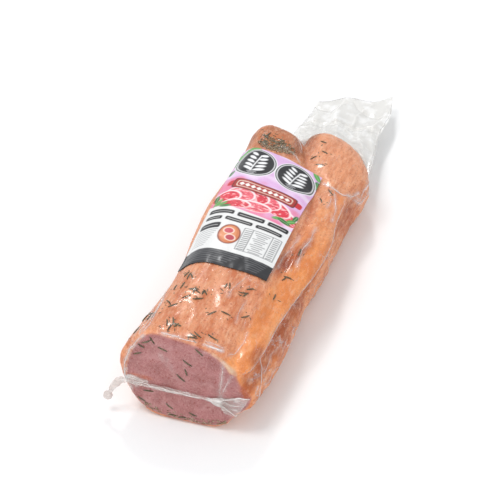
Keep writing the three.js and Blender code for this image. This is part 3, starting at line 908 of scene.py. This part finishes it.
# %% [markdown]
# ### Milky and wrinkled film
# Film whitens where it is bent sharply, so it is milky along its folds. Round the strands that are
# painted highlights, the same milk is painted highlight, and a pale diagonal streak on the cut face
# is a painted sheen. The film is wrinkled on the lower flanks and nearly clear on the tight cut
# face. Whiteness and wrinkles are both stored on the film's points, because a shader alone can't
# tell how far a place is from a fold.

# %% Mark where the film is milky, where highlights and a sheen are painted on it, and where it is wrinkled
milky = KDTree(len(milk_and_highlight_places))
for index, (place, _) in enumerate(milk_and_highlight_places):
    milky.insert(place, index)
milky.balance()
MILKY_REACH = (0.3, 3.2) # mm from a fold, over which the milkiness fades
SHEEN_MIDDLE, SHEEN_REACH, SHEEN_TURN = (-18, 53), (15, 5), -50 # a pale streak on the cut face
points = points_of(film)
milk_and_highlight = np.zeros(len(points))
for index, point in enumerate(points):
    _, nearest, distance = milky.find(Vector(point) * MM)
    milk_and_highlight[index] = milk_and_highlight_places[nearest][1] * (1 - fade(distance / MM, *MILKY_REACH))
milk_and_highlight *= 0.45 + 0.9 * fade(bumps(points, (4, 7, 4), 12.0), -0.35, 0.35)
x, y, z = points.T
front_gap = y - FRONT - FACE_LEAN * z
on_flank = 1 - fade(z, 40, 56)
# A painted sheen: a pale diagonal streak on the film over the cut face.
sheen = 1 - fade(oval_share(x, z, SHEEN_MIDDLE, SHEEN_REACH, SHEEN_TURN), 0.2, 1)
sheen *= 0.2 * (1 - fade(front_gap, 1, 3)) * fade(bumps(points, (3, 30, 30), 1.0), -0.5, 0.3)
set_mask(film, "milk_and_highlight", np.maximum(milk_and_highlight, sheen))
set_mask(film, "wrinkled", (0.35 + 0.65 * on_flank) * (0.1 + 0.9 * fade(front_gap, 1, 5)))
print("milky share of the film:", round(float((milk_and_highlight > 0.05).mean()), 3))

# %% [markdown]
# ## The label
# The label is a printed plastic sheet glued on the film. It lies over the crown and bridges the
# hollows. The CAD node gives its height on a coarse grid, and a cubic curve through those heights
# makes a smooth fine sheet from it. Each point of that sheet keeps its place on the print.

# %% Drape a fine sheet
LABEL_FRONT, LABEL_BACK, LABEL_LEFT, LABEL_RIGHT = -66.0, 102.0, -44.0, 31.0
LABEL_SLANT = 12.0
LABEL_COLUMNS, LABEL_ROWS = 14, 22
LABEL_WIDTH, LABEL_LENGTH = LABEL_RIGHT - LABEL_LEFT, LABEL_BACK - LABEL_FRONT
PRINT_CELL = 0.55 # mm, a little finer than the print's lines
RIPPLE, FRONT_RIPPLE, LABEL_LIFT = 0.25, 0.6, 0.1 # mm


def label_place(u, v):
    """x and y of a place on the label, u across and v along it."""
    x = LABEL_LEFT + LABEL_WIDTH * u
    return x, LABEL_FRONT + LABEL_LENGTH * v - LABEL_SLANT * (u - 0.5) * (v - 0.5)


label_tree = tree_of(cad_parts["label"])
heights = np.zeros((LABEL_ROWS + 1, LABEL_COLUMNS + 1))
for row in range(LABEL_ROWS + 1):
    for column in range(LABEL_COLUMNS + 1):
        u = min(max(column / LABEL_COLUMNS, 0.01), 0.99)
        v = min(max(row / LABEL_ROWS, 0.005), 0.995)
        x, y = label_place(u, v)
        heights[row, column] = look_at(label_tree, "above", x, y)[0].z / MM
across, along = round(LABEL_WIDTH / PRINT_CELL), round(LABEL_LENGTH / PRINT_CELL)
bm = bmesh.new()
bmesh.ops.create_grid(bm, x_segments=across, y_segments=along, size=0.5)
label = make_piece("label_sheet", bm)
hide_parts("label")
flat = points_of(label) * MM + 0.5
u, v = flat[:, 0], flat[:, 1]
fine = smooth_between(heights, np.linspace(0, LABEL_ROWS, along + 1))
fine = smooth_between(fine, np.linspace(0, LABEL_COLUMNS, across + 1), axis=1)
z = fine[np.rint(v * along).astype(int), np.rint(u * across).astype(int)]
x, y = label_place(u, v)
sheet_points = np.stack([x, y, z], axis=1)
ripple = RIPPLE * bumps(sheet_points, (16, 9, 30), 6.0)
ripple += FRONT_RIPPLE * (1 - fade(v, 0.03, 0.25)) * bumps(sheet_points, (9, 14, 30), 9.0)
sheet_points[:, 2] += ripple + LABEL_LIFT
set_points(label, sheet_points)
print("label:", across, "x", along, "cells")

# %% [markdown]
# ### The print
# The print is painted on the sheet's points from simple shapes, in the order a printer would lay
# the inks: fields first, then pictures, then lines. Each shape is a function that says how much it
# covers each point, with an edge as soft as the print's own. All motifs are generic.

# %% Inks and shapes
s, t = u * LABEL_WIDTH, v * LABEL_LENGTH
inks = np.tile(np.array(linear("#e6e6e4")), (len(s), 1))
EDGE = 0.45 # mm, how soft a printed edge is


def cover(inside):
    """How much a shape covers: inside is the distance in from its edge, in mm."""
    return fade(inside, -EDGE, EDGE)


def bar(cx, cy, width, height, turn=0.0, corner=0.5):
    """A bar with round corners, turned by degrees."""
    px, py = np.abs(turned(s, t, (cx, cy), turn))
    ox = np.maximum(px - width / 2 + corner, 0)
    oy = np.maximum(py - height / 2 + corner, 0)
    return cover(corner - np.hypot(ox, oy))


def oval(cx, cy, width, height, turn=0.0):
    out = oval_share(s, t, (cx, cy), (width / 2, height / 2), turn)
    return cover((1 - out) * min(width, height) / 2)


def paint(code, shape, strength=1.0):
    """Lays an ink over what is there."""
    amount = (shape * strength)[:, None]
    inks[:] = inks * (1 - amount) + np.array(linear(code)) * amount


# %% Paint the fields and the picture
BAND_TOP, FIELD_TOP = 20.0, 76.0
tilt = 0.1 * (s - LABEL_WIDTH / 2)
flat_points = np.stack([s, t, 0 * s], axis=1)
paint("#2e2e30", cover(BAND_TOP - 0.02 * s - t))
field = cover(t - FIELD_TOP + tilt)
paint("#dcb2dc", field)
clouds = bumps(flat_points, (22, 15, 1), 4.0)
paint("#f0dff0", field * fade(clouds, -0.1, 0.5), 0.7)
paint("#e8748f", field * fade(-clouds + 0.014 * (46 - s) + 0.02 * (104 - t), 0.0, 0.7), 0.8)
SLICES = [ # centre, width, height, turn, colour of the lean
    (66, 86, 25, 17, -30, "#e25565"), (56, 93, 27, 19, -22, "#dd3d4d"),
    (45, 97, 28, 20, -12, "#e8616f"), (33, 99, 29, 20, -2, "#d83a4a"),
    (21, 97, 28, 20, 8, "#ea6a76"), (11, 92, 26, 18, 18, "#e04150"),
    (38, 86, 30, 14, 3, "#e86c78"), (22, 84, 26, 12, 10, "#d83848"),
]
marbling = bumps(flat_points, (4.2, 2.2, 1), 9.0, 3)
for cx, cy, width, height, turn, lean in SLICES:
    paint("#fbe3e4", oval(cx, cy, width, height, turn))
    inside = oval(cx - 0.5, cy - 0.7, width - 2.2, height - 2.4, turn)
    paint(lean, inside)
    paint("#a32233", inside * fade(marbling, 0.2, 0.5), 0.6)
    paint("#ffcfd0", inside * fade(-marbling, 0.12, 0.45), 0.75)
LEAVES = [ # centre, width, height, turn
    (6, 84, 11, 4, 60), (3, 90, 11, 4.4, 95), (10, 82, 10, 3.8, 25), (14, 79, 10, 3.6, 5),
    (60, 81, 10, 4, 20), (66, 80, 12, 5, -15), (71, 84, 9, 4.6, 50), (73, 91, 9, 4, 80),
    (4, 160, 14, 7, 50), (3, 148, 13, 7, 85), (12, 166, 13, 5, 5), (2, 132, 10, 4, 80),
    (71, 165, 12, 5, -50), (74, 154, 11, 5, -80),
]
for index, (cx, cy, width, height, turn) in enumerate(LEAVES):
    paint("#2c7038" if index % 2 else "#57a04c", oval(cx, cy, width, height, turn))
    paint("#b9dca4", bar(cx, cy, width * 0.8, 0.5, turn, 0.2), 0.6)
print("picture:", len(SLICES), "slices and", len(LEAVES), "leaves")

# %% Paint the ribbon and the badges
RIBBON = [ # colour, width, height: a ribbon with a cream line and a row of beads along it
    ("#c92c36", 68, 8.0), ("#5d2a22", 58, 14.0), ("#a8352f", 56, 12.0), ("#f3e3d0", 51, 8.4),
    ("#a8352f", 49.6, 7.0),
]
RIBBON_MIDDLE, RIBBON_TURN, BEADS = (39, 111), -3, 9
for code, width, height in RIBBON:
    paint(code, bar(*RIBBON_MIDDLE, width, height, RIBBON_TURN, 2.4))
for k in range(BEADS):
    step = 5.2 * (k - (BEADS - 1) / 2)
    cx = RIBBON_MIDDLE[0] + step
    cy = RIBBON_MIDDLE[1] + step * math.tan(math.radians(RIBBON_TURN))
    paint("#f7f2ec", bar(cx, cy, 3.4, 3.4, 45, 0.4))
BADGES = [(19.8, 146, 37.5, 41), (56.4, 145, 36.5, 41.5)] # centre, width, height
RINGS = [("#f6f6f6", 0), ("#202022", 1.6), ("#ededed", 3.8), ("#242426", 5.4)]
for cx, cy, width, height in BADGES:
    for code, inset in RINGS:
        paint(code, oval(cx, cy, width - inset, height - inset))
    paint("#f2f2f2", bar(cx, cy - 1, 1.1, 25, -8, 0.4))
    for k in range(5):
        for side in (-1, 1):
            leaf_x, leaf_y = cx + side * (5.6 - 0.5 * abs(k - 1.5)), cy - 9.5 + 5.4 * k
            paint("#f2f2f2", oval(leaf_x, leaf_y, 10.5 - 0.9 * k, 3.2, side * 32))
    for k in range(2):
        paint("#c4c4c6", bar(cx, cy - 14.2 - 1.9 * k, 9 - 3 * k, 0.9, 0, 0.3), 0.8)
print("ribbon:", BEADS, "beads;", len(BADGES), "badges")

# %% Paint the white field: plain bars, a plate of slices, a grid and fine lines
STROKES = [ # colour, left, right, height of the middle, thickness, slope
    ("#0c0c0d", 3, 25, 71.0, 5.6, -0.03), ("#0c0c0d", 28, 52, 70.2, 5.6, -0.03),
    ("#0c0c0d", 55, 73, 69.4, 5.6, -0.03), ("#0c0c0d", 3, 17, 62.2, 4.8, -0.03),
    ("#0c0c0d", 20, 44, 61.6, 4.8, -0.03), ("#0c0c0d", 47, 70, 60.8, 4.8, -0.03),
    ("#2b2b2e", 2, 19, 51.4, 7.4, -0.01),
]
for code, left, right, middle, thickness, slope in STROKES:
    turn = math.degrees(math.atan(slope))
    paint(code, bar((left + right) / 2, middle, right - left, thickness, turn, 1.6))
    paint("#e6e6e4", bar((left + right) / 2, middle, right - left - 4, 0.7, turn, 0.3), 0.75)
PLATE = [ # colour, centre, width, height, turn: a wooden plate with two slices of meat
    ("#8a3f2b", 30, 41.5, 19, 27, 3), ("#cf7a4c", 30, 41.5, 16.4, 24.4, 3),
    ("#dd9163", 29.4, 42.5, 12.6, 20, 3), ("#f6dccb", 28.4, 46, 9.6, 9, 20),
    ("#c8505a", 28.4, 46, 7.6, 7.0, 20), ("#f6dccb", 32, 37.4, 9.6, 9, -20),
    ("#b8434e", 32, 37.4, 7.6, 7.0, -20),
]
for code, cx, cy, width, height, turn in PLATE:
    paint(code, oval(cx, cy, width, height, turn))
for k in range(8):
    paint("#6f7073", bar(10.5 - 0.3 * k, 45.2 - 2.9 * k, 17 - 1.0 * k, 0.8, 3, 0.2), 0.75)
GRID_X, GRID_Y, GRID_WIDTH, GRID_HEIGHT = 56, 39.5, 32, 30
MIDDLE_COLUMN, GRID_ROWS, ROW_STEP = 17, 11, 2.6
for side in (-0.5, 0.5):
    paint("#4d4e51", bar(GRID_X, GRID_Y + side * GRID_HEIGHT, GRID_WIDTH, 0.6, 0, 0.2))
    for span in (GRID_WIDTH, MIDDLE_COLUMN):
        paint("#4d4e51", bar(GRID_X + side * span, GRID_Y, 0.6, GRID_HEIGHT, 0, 0.2))
for k in range(GRID_ROWS):
    row = GRID_Y + GRID_HEIGHT / 2 - ROW_STEP * (k + 1)
    paint("#515255", bar(44, row, 5.8, 1.0, 8, 0.2), 0.95)
    paint("#515255", bar(56, row, 13 - 3 * (k % 3), 0.9, 0, 0.2), 0.85)
    paint("#515255", bar(68.4, row, 4.6, 1.0, 8, 0.2), 0.95)
for k in range(6):
    paint("#77787b", bar(27 - k, 17.4 - 2.7 * k, 46 - 3 * k, 0.8, -2, 0.3), 0.7)
    paint("#77787b", bar(61, 17 - 2.7 * k, 20 - 2 * k, 0.8, -2, 0.3), 0.65)
attribute = label.data.color_attributes.new("print", "FLOAT_COLOR", "POINT")
attribute.data.foreach_set("color", inks.astype(np.float32).ravel())
print("print:", len(inks), "points of ink")

# %% [markdown]
# ### Printed plastic
# The ink lies under a varnish, so the label shines more evenly than the bag. Print is made of dots
# about 0.15 mm wide, too fine to show here, so the noise that breaks the fields up is drawn 0.9 mm.

# %% Printed label stock
printed, tree = new_material("printed_label_varnished_plastic")
coords = add(tree, "TexCoord").outputs["Object"]
ink = add(tree, "Attribute", attribute_name="print").outputs["Color"]
dots = add(tree, "TexNoise", {
    "Vector": coords, "Scale": 1 / (0.9 * MM), "Detail": 1.0}).outputs["Fac"]
dots = add(tree, "MapRange", {
    "Value": dots, "To Min": 0.9, "To Max": 1.08}).outputs["Result"]
ink = add(tree, "VectorMath", {0: ink, 1: dots}, operation="MULTIPLY").outputs[0]
ripple = add(tree, "TexNoise", {
    "Vector": coords, "Scale": 1 / (11 * MM), "Detail": 2.0}).outputs["Fac"]
bump = add(tree, "Bump", {
    "Height": ripple, "Strength": 0.3, "Distance": 1 * MM}).outputs["Normal"]
surface = add(tree, "BsdfPrincipled", {
    "Base Color": ink, "Roughness": 0.38, "Normal": bump, "IOR": 1.4,
    "Coat Weight": 0.12, "Coat Roughness": 0.15})
add(tree, "OutputMaterial", {"Surface": surface.outputs[0]})
label.data.shade_smooth()
modify(label, "SOLIDIFY", thickness=0.3 * MM, offset=-1.0)
apply_modifiers(label)
dress(label, printed)
print("label:", len(label.data.vertices), "points, both faces")

# %% [markdown]
# ## The bag's empty tail
# Behind the loin the bag is empty: two layers of film drawn flat, gathered where they leave the
# meat, heat-sealed across and trimmed on the slant. The CAD sheet is subdivided, and folds
# are laid in by moving its points up and down. Two layers with air between them scatter light at
# four surfaces, so the tail looks milkier than the film on the meat, most of all on crests and at
# the seal.

# %% Fold the tail
tail = copy_of_node("bag_tail", "bag_tail_film")
bm = bmesh.new()
bm.from_mesh(tail.data)
bmesh.ops.join_triangles(
    bm, faces=bm.faces, angle_face_threshold=0.6, angle_shape_threshold=1.2)
bm.to_mesh(tail.data)
bm.free()
modify(tail, "SUBSURF", levels=3, render_levels=3)
apply_modifiers(tail)
points = points_of(tail)
x, y = points[:, 0], points[:, 1]
SEAL_Y, SEAL_SLANT = 232.0, 0.12
SEAL_HALF = (2.5, 5) # mm from the seal's middle line, over which it ends
CREST_ROUND = 1.0 # mm, how round the crest of a fold is
PUCKER_HEIGHT, BLISTER_HEIGHT = 0.9, 0.6 # mm, of the puckers round the seal and the blisters in it
TAIL_FOLDS = [ # height, reach to each side, and the places it runs through, all in mm
    (4.5, 5.0, [(6, 233), (1, 249), (0, 267), (2, 284)]),
    (4.0, 5.0, [(20, 236), (19, 255), (24, 274), (27, 288)]),
    (3.0, 4.0, [(-27, 271), (-17, 249), (-13, 232)]),
    (3.6, 4.5, [(42, 298), (46, 275), (43, 256), (39, 238)]),
    (-3.0, 4.0, [(-24, 268), (-8, 261), (3, 275)]),
    (-2.6, 4.0, [(10, 282), (22, 268), (38, 264)]),
    (1.8, 2.4, [(-27, 224), (-18, 211)]), (1.8, 2.4, [(16, 229), (39, 205)]),
    (1.8, 2.4, [(43, 226), (52, 194), (54, 165)]), (1.6, 2.2, [(-4, 228), (0, 206), (-2, 190)]),
    (1.6, 2.2, [(28, 229), (33, 214), (44, 188)]), (1.4, 2.0, [(8, 228), (12, 208), (20, 188)]),
]


def far_from(corners, x, y):
    """How far each place is from a line through corners."""
    nearest = np.full(len(x), np.inf)
    for (ax, ay), (bx, by) in zip(corners, corners[1:]):
        dx, dy = bx - ax, by - ay
        share = np.clip(((x - ax) * dx + (y - ay) * dy) / (dx * dx + dy * dy), 0, 1)
        nearest = np.minimum(nearest, np.hypot(x - ax - share * dx, y - ay - share * dy))
    return nearest


wavering = 1.5 * bumps(points, (16, 22, 60), 3.0)
away = y - SEAL_Y - SEAL_SLANT * (x - 15)
seal = 1 - fade(np.abs(away), *SEAL_HALF)
rise, crest = np.zeros(len(points)), np.zeros(len(points))
for height, reach, corners in TAIL_FOLDS:
    far = far_from(corners, x + wavering, y)
    rise += height * np.exp(-np.hypot(far, CREST_ROUND) / reach)
    crest = np.maximum(crest, np.exp(-far / 1.3))
puckers = (1 - fade(np.abs(away), 5, 30)) * (1 - 0.5 * fade(away, 0, 10))
puckers *= bumps(points, (4, 24, 50), 1.0)
blisters = seal * bumps(points, (1.8, 1.8, 30), 7.0, 1)
rise *= (1 - 0.7 * seal) * fade(y, 150, 190) * (1 - 0.75 * fade(away, 36, 58))
points[:, 2] += rise + PUCKER_HEIGHT * puckers + BLISTER_HEIGHT * blisters
set_points(tail, points)

EDGE_STEP = 4.0 # mm between the readings of an edge


def outermost(pick, cells, values, start):
    """The lowest or highest value in each cell."""
    found = np.full(cells.max() + 1, start)
    pick.at(found, cells, values)
    return found


rows = np.floor(y / EDGE_STEP).astype(int)
rows -= rows.min()
left_edge = outermost(np.minimum, rows, x, np.inf)
right_edge = outermost(np.maximum, rows, x, -np.inf)
from_edge = np.minimum(x - left_edge[rows], right_edge[rows] - x)
edge = 1 - fade(from_edge, 0.8, 3.2)
opening = fade(y, 115, 185) * 0.8 + 0.2 * fade(y, 185, 215)
layers = 0.6 + 0.3 * crest + 0.2 * seal + 0.2 * blisters + 0.35 * edge * fade(y, 200, 230)
layers += 0.16 * bumps(points, (14, 20, 60), 8.0)
set_mask(tail, "milk_and_highlight", np.clip(layers * opening, 0, 0.95))
set_mask(tail, "wrinkled", 0.15 + 0.35 * (1 - fade(y, 215, 235)))
tail_film = film_material("clear_film_flat_sealed", ("#eeece7", "#fdfcf9"), 7.0, 0.5)
dress(tail, tail_film)
tail.data.shade_smooth()
print("tail:", len(tail.data.vertices), "points")

# %% [markdown]
# ### The tail's edges
# A bag is made from a tube of film, so each of its long edges is film folded on itself, and its
# open end is where it was torn off. All three catch the light as fine white lines. They are read
# from the sheet's own points: the outermost one in every few millimetres.

# %% Draw the tail's edges
HEM_WIDTH, INSET = 0.9, 1.3 # INSET is from the sheet's rim to the middle of its strand
LEFT_FROM, RIGHT_FROM, END_FROM = 214, 176, 262 # y from where each edge is free
SIDE_STRIDE, END_STRIDE = 4, 3 # a strand runs through every fourth or third reading
lines = []
for side, reads, first in ((1, left_edge, LEFT_FROM), (-1, right_edge, RIGHT_FROM)):
    reads_y = y.min() + EDGE_STEP * (np.arange(len(reads)) + 0.5)
    chosen = (reads_y > first) & np.isfinite(reads)
    lines.append(np.stack([reads + side * INSET, reads_y], axis=1)[chosen][::SIDE_STRIDE])
columns = np.floor((x - x.min()) / EDGE_STEP).astype(int)
far_edge = outermost(np.maximum, columns, y, -np.inf)
reads_x = x.min() + EDGE_STEP * (np.arange(len(far_edge)) + 0.5)
ends = np.stack([reads_x, far_edge - INSET], axis=1)
lines.append(ends[far_edge > END_FROM][::END_STRIDE])
rows = [("above", HEM_WIDTH, corners) for corners in lines]
hems, _ = film_strands("bag_tail_edges", tree_of(tail), rows, 0.6, 0.3, 9, 4.0)
hem_film = film_material("clear_film_folded_on_itself", ("#dcdad6", "#ffffff"), 3.0, 0.2)
dress(hems, hem_film)
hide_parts("bag_tail")

# %% [markdown]
# ## The gathered seam
# The bag's front end is drawn into a thin ridge across the cut face, knotted near its right end and
# twisted into an ear on the left. Remeshed finely, the CAD solid takes pleats that run along the
# ridge and spread over the web. Many layers are fused there by heat: the web still lets the meat
# show, and the knot and the ear are thick enough to look white.

# %% Pleat the seam
SEAM_VOXEL = 0.5
seam = copy_of_node("bag_gather", "bag_gather_film")
remesh(seam, SEAM_VOXEL, smoothing=4)
points, normals = points_of(seam), normals_of(seam)
x, z = points[:, 0], points[:, 2]
KNOT_X, HUB_X = 26.0, -52.0
PLEAT_HEIGHT, WEB_PLEAT_LESS = 0.5, 0.25
is_web = fade(x, KNOT_X + 3, KNOT_X + 9)
is_ear = 1 - fade(x, HUB_X - 4, HUB_X + 1)
is_knot = 1 - fade(np.abs(x - KNOT_X + 3), 4, 9)
pleats = bumps(points, (9, 9, 1.6), 2.0)
points += normals * ((PLEAT_HEIGHT - WEB_PLEAT_LESS * is_web) * pleats)[:, None]
set_points(seam, points)
layers = 0.16 + 0.28 * fade(pleats, 0, 0.5) + 0.62 * is_ear + 0.37 * is_knot
set_mask(seam, "milk_and_highlight", np.clip(layers, 0.05, 0.9))
set_mask(seam, "wrinkled", 1 - 0.4 * is_web)
folded_film = film_material("clear_film_gathered_and_fused", ("#ddd1cb", "#f6f1ed"), 3.0, 0.5)
dress(seam, folded_film)
seam.data.shade_smooth()
print("seam:", len(seam.data.vertices), "points")

# %% [markdown]
# ### Strands over the seam
# The pull of the knot draws single pleats out into strands, which lie on the seam and fan out over
# the web. Drawn film is stretched thin and clouded, so they are the whitest part of the seam.

# %% Lay strands over the seam
SEAM_STRANDS = [ # width, and the places it runs through, x and z
    (1.3, [(21, 29.5), (31, 31), (42, 35), (52, 37.5)]),
    (1.2, [(21, 27.5), (29, 25), (36, 20.5), (41, 18.5)]),
    (0.9, [(41, 18.5), (47, 25), (52, 37)]),
    (0.7, [(22, 28.5), (30, 29), (38, 27), (44, 29)]),
    (1.6, [(16, 29.5), (21, 29), (26, 28), (30, 27.5)]),
    (1.4, [(17, 27.5), (22, 28), (27, 30)]),
    (0.9, [(-50, 31), (-36, 30.8), (-22, 30.4), (-6, 29.6), (8, 29.2), (18, 29)]),
    (0.7, [(-48, 29.6), (-34, 30), (-18, 29.4), (-2, 29.2), (12, 28.6)]),
    (0.9, [(-51, 31), (-47, 33), (-42, 33.5)]), (0.9, [(-51, 29.6), (-47, 28), (-43, 26.5)]),
]
rows = [("front", width, corners) for width, corners in SEAM_STRANDS]
strands, _ = film_strands("seam_strands", tree_of(seam), rows, 0.62, 0.25, 5, 4.0, fewest=3)
strand_film = film_material("clear_film_drawn_to_a_strand", ("#e6ddd8", "#fbf7f4"), 3.0, 0.2)
dress(strands, strand_film)
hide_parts("bag_gather")
